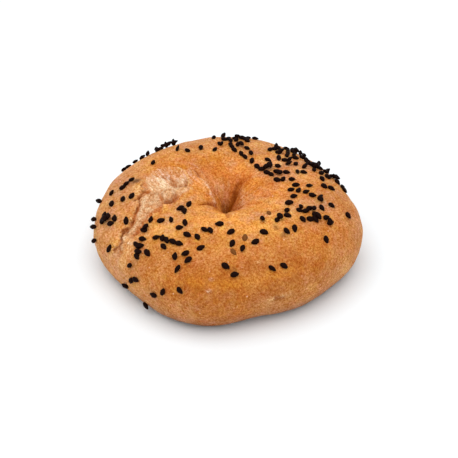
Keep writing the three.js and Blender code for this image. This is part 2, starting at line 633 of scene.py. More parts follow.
MARKS: dict[Tint, list[Mark]] = {
    Tint.ROSY: [
        # funnel
        Mark(((10.5, 12.5), (13, 12.6), (18, 10.7)), 0.9, 0.7, 0.4),
        # rosy crust along the throat's right rim, brightened as a painted highlight
        Mark(((5.6, 9.5), (6.3, 7), (6.8, 3), (7.4, -1)), 1, 0.7, 0.35),
        Mark(((-4, 12), (0, 12), (-1, 9)), 2.5, 0.75),
        # patches
        Mark(((-8, -35), (0, -34), (10, -34), (20, -33)), 5, 0.15),
        Mark(((18, 17), (30, 19), (38, 24)), 7, 0.55), Mark(((26, -8), (38, -6)), 5, 0.3),
        Mark(((-44, 22), (-40, 24)), 5, 0.35),
        Mark(((-22.5, 22.5), (-19, 21.8), (-16, 19.8)), 1.3, 0.5, 0.3),
        Mark(((-11, 13), (-7.5, 7)), 3, 0.5),
    ],
    Tint.BAKED: [
        # patches
        Mark(((-16, -25), (-14, -36)), 5, 0.25), Mark(((-8, 34), (4, 34)), 6, 0.25),
        Mark(((34, -21), (42, -18.5), (46, -16)), 6.5, 0.55), Mark(((-41, -5), (-42.5, -12)), 4, 0.4),
        Mark(((-40.5, -14), (-41.5, -19)), 3, 0.5), Mark(((1, -35), (4, -35)), 4.5, 0.35),
        Mark(((-7, -24), (-5.5, -30)), 5, 0.3), Mark(((-39, -24), (-40, -29)), 4, 0.35),
        Mark(((11, -41), (11, -46)), 6, 0.35, 0, 20), Mark(((18, -29), (21, -32)), 5, 0.3),
        Mark(((-26, 18.5), (-16, 19), (-6, 19.5)), 6, 0.7), Mark(((-19.5, 9.5), (-17.5, 10.5)), 3, 0.3),
        Mark(((1, 14), (3, 9), (2, 2)), 3.4, 0.9), Mark(((-2, 5.5), (0, 1)), 3, 0.6),
        Mark(((11, -31.5), (12, -32)), 1.2, 0.7), Mark(((20.5, -34), (21.5, -34.5)), 1.2, 0.7),
        Mark(((-5.2, -37), (-4.8, -37.6)), 1, 0.8), Mark(((10, -34.5), (11, -35)), 1.2, 0.5),
        Mark(((15, -28), (16.5, -29.5)), 1.5, 0.5),
    ],
    Tint.PALE: [
        # seam
        Mark(((-27, 10.5), (-24.5, 6.5), (-22, 2.5)), 2.2, 0.6, 0.2),
        Mark(((-25, 1), (-23, 1.6)), 1.6, 0.8, 0.1), Mark(((-17.8, 1.8), (-15.4, 4.2)), 0.8, 0.6, 0.2),
        Mark(((-33, 0), (-34, -4), (-34.5, -8)), 1, 0.35, 0.2),
        Mark(((-38.5, -22), (-35.5, -22.6)), 0.6, 0.4, 0.4),
        # funnel
        Mark(((-9.5, 9), (-7, 4.5), (-5, 0)), 0.35, 0.5, 0.2),
        Mark(((-8.3, 9.5), (-6, 4.5)), 0.3, 0.45, 0.1),
        Mark(((-11.5, 11), (-8, 6.5), (-6.8, 3)), 0.3, 0.45, 0.15),
        Mark(((-14.5, 19), (-11, 16), (-9, 13)), 0.35, 0.2, 0.15),
        # flank
        Mark(((-7.2, -46.6), (-6.6, -46.6)), 0.4, 0.45, 0.2, 22.9),
        Mark(((-6.2, -43.5), (-5.4, -43.5)), 0.4, 0.4, 0.2, 26.2),
    ],
    Tint.GOLD: [
        # seam
        Mark(((-21, 17.5), (-17.5, 15.5), (-16, 12.5), (-15.8, 7)), 0.4, 0.7, 0.3),
        Mark(((-22, 16), (-19, 14.8), (-17.6, 12)), 0.4, 0.5, 0.2),
        Mark(((-38.5, -21.5), (-39.5, -24), (-41.5, -26), (-42.5, -29.5)), 2, 0.5, 0.3),
        Mark(((-37.5, 7.5), (-36, 6.5), (-35.8, 4.5), (-36.2, 2.5)), 1.1, 0.8, 0.4),
        # funnel
        Mark(((-5.2, 9.5), (-4.8, 11)), 0.45, 0.35, 0.3), Mark(((-3.6, 11.5), (-3.2, 10)), 0.45, 0.3, 0.3),
        Mark(((-2, 13.5), (-1.5, 12)), 0.45, 0.35, 0.3), Mark(((0.6, 14), (0.9, 12.5)), 0.45, 0.3, 0.3),
        # flank
        Mark(((15, -44.5), (20, -42.5)), 4.5, 0.3, 0, 12), Mark(((45, -26), (48, -21)), 4, 0.25, 0, 12),
        Mark(((11.4, -36), (13, -36)), 0.6, 0.6, 0.2, 28.5),
        Mark(((16, -43.4), (18.2, -42.8)), 0.5, 0.8, 0.4, 15.6),
        Mark(((21, -42), (25.5, -40.4)), 0.5, 0.6, 0.4, 16.3),
        # patches
        Mark(((-7, -35.5), (-5, -36)), 3.5, 0.12), Mark(((9.5, -42), (11, -42.2)), 3.5, 0.12),
        Mark(((-24.5, -33), (-22, -33)), 5, 0.15),
    ],
    # Orange marks that sink are creases, their dark orange partly painted shade.
    Tint.ORANGE: [
        # seam
        Mark(((-35.2, -3.5), (-35.8, -6), (-36.6, -9.5), (-37.4, -12), (-38.2, -14.2), (-40, -15.6)),
             1, 0.95, -0.3),
        Mark(((-34.9, 3.6), (-35, 1.8), (-35.9, 0)), 0.9, 0.9, -0.3),
        Mark(((-34.2, 5), (-33.6, 3.8), (-32.5, 3.8)), 1, 0.8, -0.3),
        Mark(((-21.5, 10.5), (-20, 8), (-17.5, 7.5)), 1.8, 0.4),
        Mark(((-27.2, 1), (-26.6, -2), (-26.2, -5)), 0.8, 0.7, -0.6),
        Mark(((-26, -5), (-24, -5.4), (-22, -4.9), (-20.2, -2)), 0.6, 0.5, -0.5),
        Mark(((-27, -7), (-26.5, -10.5)), 1.1, 0.9, -0.3),
        Mark(((-31.5, -11.5), (-30, -9.5), (-28.5, -9.5)), 0.9, 0.8, -0.3),
        Mark(((-31.5, -13), (-33, -14.5)), 0.9, 0.7, -0.3),
        Mark(((-34.4, -16), (-35.2, -18), (-37, -19)), 0.9, 1, -0.7),
        Mark(((-29.5, -13.5), (-28, -14.5)), 0.9, 0.6),
        # funnel
        Mark(((-10, -5), (-8, -3.8), (-6, -1.6), (-4.7, -0.2)), 1, 1, -0.6),
        Mark(((-3.8, -4.5), (-3, -8), (-1.5, -9.5)), 1.1, 0.9),
        Mark(((-0.8, -10), (0.4, -14)), 0.6, 0.6, -0.4),
        Mark(((9, 13), (5.8, 13.2), (3.8, 10.5), (2.4, 8)), 1.2, 0.85, -0.4),
        Mark(((5.5, -1), (9.5, -2.5), (13, -4)), 0.9, 0.55, -0.45),
        Mark(((11.5, -9), (16, -9.8), (20.5, -9.3)), 1, 0.55, -0.45),
        Mark(((13.5, 0.6), (16.5, -0.4)), 0.8, 0.75, -0.5),
        Mark(((21.5, -1.5), (24, -2.3)), 0.9, 0.4, -0.3), Mark(((14, 8), (17.5, 6.5)), 1, 0.35, -0.25),
        Mark(((9.5, 15.5), (11, 16.8)), 1.6, 0.35), Mark(((-8.5, 22), (-4, 24)), 1.2, 0.6, -0.2),
        Mark(((-13.4, 15.2), (-10.7, 11)), 1, 0.95, -0.8),
        Mark(((-14, 17.5), (-12, 16.5), (-10, 14.5), (-9, 13)), 1.6, 0.5),
        # flank
        Mark(((-10.5, -47), (-8, -47.2)), 0.9, 0.9, -0.3, 7),
        Mark(((-5.8, -46), (-2, -46)), 0.8, 0.7, -0.2, 4.5),
    ],
    Tint.AMBER: [
        # seam
        Mark(((-23, 19.8), (-19.5, 18.8), (-16.5, 17)), 1.1, 0.6, -0.4),
        # funnel
        Mark(((-3.8, 6), (-3.4, 1), (-3, -4), (-2.6, -8)), 1.2, 0.9, 0.2),
        Mark(((-9.5, 22.5), (-6, 24), (-2, 24.5)), 2.2, 0.8, -0.4),
        # flank
        Mark(((-4.5, -44.6), (0, -44.6), (5, -44.6)), 2.2, 0.6, 0, 24.5),
        Mark(((-10.5, -44), (-14, -43)), 1.8, 0.6, 0, 25),
        Mark(((6, -43.5), (11, -42), (18, -39.5), (24, -37)), 2.5, 0.75, 0, 24.5),
        # patches
        Mark(((-16, 2.5), (-13, 3)), 3.5, 0.55), Mark(((-17, -2.5), (-15, 0.5)), 1, 0.6),
        Mark(((10, 8), (14, 9)), 4, 0.45), Mark(((-6, -24), (-6, -43)), 5, 0.12),
        Mark(((-11, -5.5), (-7, -4)), 1.8, 0.55),
    ],
    Tint.SHADE: [
        # seam
        Mark(((-34.5, 4.5), (-31, 3), (-28, 1.5)), 0.6, 0.4, -0.3),
        Mark(((-35.9, -0.2), (-37.2, -1)), 0.9, 1, -0.6),
        Mark(((-25.5, -5.2), (-23.5, -5.4), (-22, -4.7)), 0.45, 0.4, -0.2),
        Mark(((-26.5, 12.5), (-23, 11.5), (-22, 8.5), (-20.8, 4)), 0.8, 0.5, -0.5),
        Mark(((-21, 9), (-19.5, 7), (-18.5, 5.5)), 1.4, 0.3, -0.2),
        Mark(((-16.7, 9), (-17, 5.5)), 0.7, 0.4, -0.4),
        Mark(((-41, -15.7), (-39.5, -16.5)), 0.9, 0.9, -0.7),
        Mark(((-43, -21.5), (-42, -23)), 1.2, 0.4, -0.5),
        # funnel
        Mark(((-9, -4.4), (-7.5, -3.2), (-6, -1.6)), 0.7, 0.5, -0.2),
        Mark(((-13, 14.7), (-11, 11.6)), 0.7, 0.6),
        # flank
        Mark(((18.8, -42.5), (22, -41.5)), 0.7, 0.5, -0.6, 15),
    ],
    Tint.HOLLOW: [
        # funnel: painted shade on the throat's right wall
        Mark(((4.6, 12.5), (3.6, 10.5), (2.4, 8)), 0.9, 0.7),
        Mark(((3.2, 9.5), (2.4, 6), (2.4, 2), (1.2, -3)), 1.4, 0.85, -0.3),
        # patches: painted shade over the throat's wall
        Mark(((1, 9), (2, 3)), 4.5, 0.22),
    ],
    Tint.STAIN: [
        # patches: seed-shaped grey-brown marks
        Mark(((-37.5, 11.5), (-36.5, 11.2)), 1.5, 0.9, 0.2), Mark(((18.8, -19.5), (19.7, -20.5)), 1.2, 0.5),
        Mark(((22, -24), (22.8, -23.5)), 1.2, 0.5), Mark(((3, -39.8), (3.3, -40.6)), 1, 0.4, 0.2),
        # painted shadow of the dense seeds on the crust around them
        Mark(((8, 29), (14, 26)), 5, 0.08), Mark(((18, 15), (26, 19), (34, 21)), 7, 0.08),
        Mark(((18, -27), (21, -33)), 5, 0.06),
    ],
}


# ---------- The bread ----------


class Skin:
    """The ring's vertices, the relief worked into them and the tints laid on them."""

    def __init__(self, piece: Piece) -> None:
        """Reads the vertices of a piece.

        Args:
            piece: the ring's mesh object, which has no relief yet.
        """
        self.piece = piece
        self.places = rows_of(piece.data.vertices, "co") / MM
        self.normals = rows_of(piece.data.vertex_normals, "vector")
        self.plan = self.places[:, :2] - HOLE
        self.x, self.y = self.plan.T
        self.height = self.places[:, 2]
        self.from_hole = np.linalg.norm(self.plan, axis=1)
        self.upper = smoothstep(16, 24, self.height)
        self.relief = np.zeros(len(self.places))
        self.tints = {tint: np.zeros(len(self.places)) for tint in Tint}

    def tint(self, tint: Tint, strength: Array) -> None:
        """Lays a tint wherever that makes it stronger."""
        self.tints[tint] = np.maximum(self.tints[tint], strength)

    def note(self, name: str, values: Array) -> None:
        """Writes a value from 0 to 1 on each vertex, for the finish to read under a name."""
        attribute = self.piece.data.attributes.new(name, "FLOAT", "POINT")
        attribute.data.foreach_set("value", np.clip(values, 0, 1).astype(np.float32))


@dataclass(frozen=True)
class Lump:
    """A rounded swell of crumb: its place, its two radii and how far it stands out."""

    x: float
    y: float
    across: float
    along: float
    rise: float


@dataclass
class TornSeam:
    """Where the lapped end of the rope tore open: pale crumb between two ragged edges of crust.

    note uses what work has measured, such as how far each place is from the two edges.
    """

    ledge: Sequence[Plan] = (
        (-34.5, 9.5), (-35, 7), (-33.6, 5), (-34.9, 4), (-35.1, 1.8), (-36, 0), (-35.8, -2.5), (-36.4, -6),
        (-37.4, -10), (-38.5, -14.2), (-41, -15.3), (-42.1, -18), (-41.8, -19.5), (-43, -20.6),
        (-45.5, -20.6), (-45.5, -22.5),
    )
    crust_edge: Sequence[Plan] = (
        (-43.5, -24), (-40.8, -24), (-39.6, -22.8), (-39.2, -20.8), (-37.5, -20.5), (-36, -18),
        (-33, -15.5), (-31.5, -12.5), (-29.5, -10), (-26.5, -8.5), (-25, -6), (-20.8, -5), (-18.8, -2),
        (-16.2, 1.5), (-15, 4.5),
    )
    crown: Sequence[Plan] = ((-14, 8), (-16, 13.5), (-22, 17.5), (-28.5, 17), (-32.5, 13.5))
    lumps: Sequence[Lump] = (Lump(-23.2, -1.6, 3.0, 3.7, 1.9), Lump(-19, 9.5, 2.6, 3.6, 1.1))
    stretched: Plan = (-18, 12)
    fibre_turn: float = -57.0
    wavy: Bumps = Bumps(0.9, 3.2, 11)
    ragged: Bumps = Bumps(0.8, 1.6, 12, 2)
    crumbly: Bumps = Bumps(1.4, 1.3, 14)
    clots: Sequence[Bumps] = (Bumps(0.3, 1.8, 21, 3), Bumps(0.07, 0.7, 22, 2))
    sway: Bumps = Bumps(0.9, 5, 24)
    strands: Bumps = Bumps(0.3, 0.9, 25, 3)

    @property
    def outline(self) -> list[Plan]:
        """The seam's whole outline, edge after edge."""
        return [*self.ledge, *self.crust_edge, *self.crown]

    def fibres(self, skin: Skin) -> Array:
        """The drawn-out strands of dough.

        Args:
            skin: the ring's skin.

        Returns:
            For each vertex, how far it stands out on a strand, or sinks between them.
        """
        turn = math.radians(self.fibre_turn)
        along = skin.plan @ (math.cos(turn), math.sin(turn))
        across = skin.plan @ (-math.sin(turn), math.cos(turn)) + self.sway.at(skin.places)
        return self.strands.at(np.column_stack([along / 7, across, 0 * along]))

    def work(self, skin: Skin) -> None:
        """Opens the seam: crumb bulges between its edges, which curl up a little.

        Args:
            skin: the ring's skin.
        """
        plan, places = skin.plan, skin.places
        ragged = self.ragged.at(places)
        depth = depth_inside(plan, self.outline) + self.wavy.at(places) + ragged
        self.torn = np.clip(0.5 + depth / (0.35 + 2.6 * smoothstep(4, 14, skin.y)), 0, 1) * skin.upper
        self.from_ledge = np.abs(from_path(plan, self.ledge)[0] + ragged)
        self.from_edge = np.abs(from_path(plan, self.crust_edge)[0] + ragged)
        self.lower = smoothstep(9, 3, skin.y)
        across = self.from_ledge / (self.from_ledge + 0.8 * self.from_edge + 0.01)
        pillow = np.clip(4 * across * (1 - across), 0, 1) ** 0.7
        skin.relief += self.torn * self.lower * (1.5 * pillow - 1.1)

        curl = np.maximum(fading(self.from_ledge, 1.3), fading(self.from_edge, 1.2))
        curl *= (1 - self.torn) * skin.upper
        crumbly = np.clip(0.4 + self.crumbly.at(places), 0, 1.4)
        skin.relief += 0.8 * curl * crumbly
        skin.tint(Tint.GOLD, 0.8 * curl * np.minimum(crumbly, 1))

        self.crease = np.zeros(len(places))
        for lump in self.lumps:
            offset = (plan - (lump.x, lump.y)) / (lump.across, lump.along)
            away = np.linalg.norm(offset, axis=1)
            skin.relief += lump.rise * np.clip(1 - away**2, 0, 1) ** 0.6
            # Each lump's crease keeps to its lower right, the side in shade; the finish paints it dark
            # there.
            shaded_side = smoothstep(-0.2, 0.7, offset[:, 0] - offset[:, 1])
            self.crease = np.maximum(self.crease, fading(away - 1.1, 0.17) * shaded_side)
        skin.relief -= 0.35 * self.crease

        stretched = fading(np.linalg.norm(plan - self.stretched, axis=1), 5) * skin.upper
        self.drawn = np.maximum(self.torn * smoothstep(1, 7, skin.y), stretched)
        skin.relief += self.torn * sum(clots.at(places) for clots in self.clots)
        skin.relief += self.drawn * self.fibres(skin)

    def note(self, skin: Skin, broken: Array, flap_rim: Array) -> None:
        """Notes where crumb and strands show, and the painted shade in the seam's cracks.

        Args:
            skin: the ring's skin.
            broken: unevenness, about 1, that breaks up the edges.
            flap_rim: how much the flap's rim is drawn out.
        """
        crown = smoothstep(7, 15, skin.y)
        torn = self.torn * (1 - 0.7 * crown)
        skin.note("torn", torn)
        skin.note("light", np.maximum(torn, np.minimum(1.6 * skin.tints[Tint.PALE], 1)))
        skin.note("drawn", np.maximum(0.9 * self.drawn * (1 - 0.5 * crown), flap_rim))
        gutter = fading(np.maximum(self.from_edge - 0.7, 0), 0.9)
        # painted shade under the ledge, laid on in the border's orange
        under = fading(self.from_ledge - 0.2, 0.7)
        skin.note("border", 0.6 * (gutter + 0.6 * under) * torn * self.lower * broken)
        # Painted shade along the foot of the ledge, with the shade marks and the lumps' creases.
        crack_shade = fading(self.from_ledge - 0.2, 0.5) * torn
        skin.note("ledge", (np.maximum(crack_shade, skin.tints[Tint.SHADE]) + 0.25 * self.crease) * broken)


@dataclass
class Funnel:
    """The dip down to the hole: a flap over its back wall, creases, pleats and a pinched throat."""

    flap_edge: Sequence[Plan] = ((-14, 16), (-9.5, 9), (-6.8, 4.5), (-4.5, 1.5), (-2.5, -0.5))
    wall_crease: Sequence[Plan] = ((5.2, 13), (4.6, 9.5), (2.5, 6), (1, 3.5))
    lip_creases: Sequence[Sequence[Plan]] = (
        ((-11, -5.8), (-7.5, -3.8), (-4.7, -0.2)),
        ((-0.6, -4), (-0.3, -9), (0.9, -14)),
    )
    pleats: int = 26
    pleat_sway: Bumps = Bumps(4, 8, 41)
    pinch: float = 0.68

    def work(self, skin: Skin) -> None:
        """Works in the flap, the creases and the pleats.

        Args:
            skin: the ring's skin.
        """
        from_flap, on_wall = from_path(skin.plan, self.flap_edge)
        along = skin.upper * smoothstep(24, 14, skin.from_hole)
        foot, top = -0.45 * fading(from_flap, 2.2), 0.3 * fading(from_flap, 2.0)
        skin.relief += np.where(on_wall, foot, top) * along
        self.flap_rim = 0.3 * fading(from_flap, 0.8) * ~on_wall * along

        wall = fading(from_path(skin.plan, self.wall_crease)[0], 1.1)
        lips = np.max([fading(from_path(skin.plan, path)[0], 0.8) for path in self.lip_creases], axis=0)
        deep = smoothstep(14, 22, skin.height)
        skin.relief -= (0.6 * wall + 0.4 * lips) * deep
        self.creases = (wall + lips) * deep

        bearing = np.arctan2(skin.y, skin.x)
        pleats = np.sin(self.pleats * bearing + self.pleat_sway.at(skin.places))
        gather = fading(skin.from_hole, 11) * smoothstep(14, 21, skin.height) * smoothstep(-2, 3, skin.y)
        skin.relief += 0.25 * pleats * gather
        # Paler on the pleats' ridges and darker orange in their valleys: painted light and shade that follow
        # the pleats.
        skin.tint(Tint.PALE, 0.1 * pleats * gather)
        skin.tint(Tint.ORANGE, -0.5 * pleats * gather)

    def squeeze(self, skin: Skin) -> None:
        """All but closes the hole: its side walls bulge towards each other."""
        near = fading(skin.height - 20, 7) * fading(np.maximum(skin.from_hole - 3, 0), 3)
        skin.places[:, 0] -= (skin.places[:, 0] - HOLE[0] + 0.9) * self.pinch * near

    def note(self, skin: Skin) -> None:
        """Notes the painted shade of the throat: deeper low down and on its right wall, and in its creases.

        Args:
            skin: the ring's skin.
        """
        # Painted shade, deeper low in the throat and on its right wall than on its left.
        slant = np.where(skin.x > 0, -0.5, -1.4) * skin.x
        shade = smoothstep(30, 19, skin.height + slant) * smoothstep(7.5, 4.5, skin.x)
        shade *= 0.9 * fading(skin.from_hole, 8)
        skin.note("pinch", np.maximum(skin.tints[Tint.HOLLOW], 0.3 * self.creases) + shade)


@dataclass
class Baking:
    """What the oven does to the ring: swells, goose flesh, and tones that differ from side to side, some of
    them painted light and shade.
    """

    swells: Sequence[Bumps] = (Bumps(0.5, 17, 31), Bumps(0.22, 6, 32), Bumps(0.11, 2.4, 33, 2))
    slope_place: Plan = (6, 9)
    lip_place: Plan = (3, -17)

    def work(self, skin: Skin) -> None:
        """Raises the skin, from broad swells down to goose flesh."""
        skin.relief += sum(swell.at(skin.places) for swell in self.swells)

    def note(self, skin: Skin, golden_edge: Array) -> None:
        """Notes the tones of the crust, with painted shade low on the front, the right and the foot, a
        painted highlight by the hole and painted sheen at the back rim.

        Args:
            skin: the ring's skin.
            golden_edge: 0 beside the seam's ledge, where the crust stays golden, and 1 elsewhere.
        """
        x, y, height = skin.x, skin.y, skin.height
        from_slope = np.linalg.norm((skin.plan - self.slope_place) / (1.9, 1.1), axis=1)
        skin.note("warm", fading(from_slope, 14) * skin.upper)
        # A painted highlight, bright gold, on the front lobe's top by the hole.
        from_lip = np.linalg.norm((skin.plan - self.lip_place) / (1.5, 1.0), axis=1)
        skin.note("glazed", 0.8 * fading(from_lip, 13) * skin.upper)

        flanks = np.maximum(0.6 * smoothstep(-27, -45, x), 0.25 * smoothstep(38, 49, x))
        # Towards the back the dust colour is painted sheen on the rim.
        back = 0.5 * smoothstep(24, 38, y)
        low_left = smoothstep(-5, -30, x) * smoothstep(24, 12, height)
        low_right = smoothstep(39, 48, 0.8 * x - 0.6 * y) * smoothstep(24, 15, height)
        dust_and_sheen = np.max([flanks, back, 0.4 * low_left, 0.25 * low_right], axis=0)
        skin.note("dust_and_sheen", dust_and_sheen * golden_edge)

        # The browning deepens towards the front and the right; part of that is painted shade, where the
        # overhead light falls off down the sides.
        front = smoothstep(16, 34, 0.05 * x - 0.98 * y)
        right = 0.55 * smoothstep(12, 36, 0.8 * x - 0.6 * y)
        paler = (1 - 0.6 * flanks) * (1 - 0.5 * low_left) * (1 - 0.3 * low_right)
        skin.note("browned_and_shaded", np.maximum(front, right) * paler)
        # The bottom's colour, partly painted shade low on the sides.
        skin.note("sole", smoothstep(12, 3, height) * (1 - 0.7 * flanks))
        # Painted contact shadow: the lowest few millimetres darken towards the table.
        foot = 0.55 * smoothstep(4.4, 2.2, height)
        skin.note("stain_and_shade", np.maximum(np.minimum(skin.tints[Tint.STAIN], 0.85), foot))


@dataclass
class BreadRing:
    """The bread itself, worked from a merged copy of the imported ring."""

    node: str = "bread"
    levels: int = 2
    seam: TornSeam = field(default_factory=TornSeam)
    funnel: Funnel = field(default_factory=Funnel)
    baking: Baking = field(default_factory=Baking)
    wander: Sequence[Bumps] = (Bumps(0.45, 2.2, 51, 2), Bumps(0.45, 2.2, 52, 2))
    breaks: Bumps = Bumps(0.7, 1.6, 26)

    def build(self) -> Piece:
        """Copies, refines and shapes the ring.

        Returns:
            The finished mesh object.
        """
        self.piece = bpy.data.objects.new("bread_ring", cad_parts[self.node].data.copy())
        self.piece.data.materials.clear()
        bpy.context.scene.collection.objects.link(self.piece)
        with editing(self.piece):
            bpy.ops.mesh.remove_doubles(threshold=0.001 * MM)
            bpy.ops.mesh.tris_convert_to_quads(face_threshold=math.pi, shape_threshold=math.pi)
        rounding = self.piece.modifiers.new("rounding", "SUBSURF")
        rounding.levels = rounding.render_levels = self.levels
        bpy.ops.object.modifier_apply(modifier=rounding.name)
        self.refine_seam()
        self.shape()
        work_on(self.piece)
        bpy.ops.object.shade_smooth()
        return self.piece

    def refine_seam(self) -> None:
        """Halves the faces over the torn seam, where the detail is finest."""
        centres = rows_of(self.piece.data.polygons, "center") / MM
        near_seam = depth_inside(centres[:, :2] - HOLE, self.seam.outline) > -2
        with editing(self.piece, near_seam & (centres[:, 2] > 18)):
            bpy.ops.mesh.subdivide(number_cuts=1, smoothness=0.0)

    def lay_marks(self, skin: Skin) -> None:
        """Works in each mark, its path made to wander a little.

        Args:
            skin: the ring's skin.
        """
        wandering = skin.plan + np.column_stack([bumps.at(skin.places) for bumps in self.wander])
        for tint, marks in MARKS.items():
            for mark in marks:
                cover = mark.cover(wandering, skin.height)
                skin.relief += mark.rise * cover
                skin.tint(tint, mark.strength * cover)

    def shape(self) -> None:
        """Moves the skin to its relief and notes what the finish needs to know."""
        skin = Skin(self.piece)
        self.lay_marks(skin)
        for part in (self.seam, self.funnel, self.baking):
            part.work(skin)
        relief = skin.relief * smoothstep(0.2, 2.5, skin.height)
        skin.places = skin.places + skin.normals * relief[:, None]
        self.funnel.squeeze(skin)
        move_to(self.piece, skin.places)

        broken = np.clip(0.85 + self.breaks.at(skin.places), 0, 1)
        for tint in (Tint.ROSY, Tint.BAKED, Tint.PALE, Tint.GOLD, Tint.ORANGE, Tint.AMBER):
            skin.note(tint.value, skin.tints[tint] * broken)
        self.seam.note(skin, broken, self.funnel.flap_rim)
        self.funnel.note(skin)
        self.baking.note(skin, 1 - 0.8 * fading(self.seam.from_ledge, 2.5))


# ---------- The seeds ----------


@dataclass(frozen=True)
class Lie:
    """Where one seed lies and the way its tip points, in degrees.

    stands is how far it is tipped up on its end, in degrees. height is None on the top; lower
    seeds stick to the side at that height.
    """

    x: float
    y: float
    points: float = 0.0
    stands: float = 0.0
    height: float | None = None


class Area(Enum):
    """The parts of the ring that the seeds are strewn over."""

    LEFT = "left"
    BACK_LEFT = "back left"
    BACK = "back"
    BACK_RIGHT = "back right"
    RIM = "back right rim"
    RIGHT = "right"
    FRONT = "front"
    FRONT_LEFT = "front left"
    SUNK = "sunk under the egg wash"


UP = 36.0
TALL = 62.0
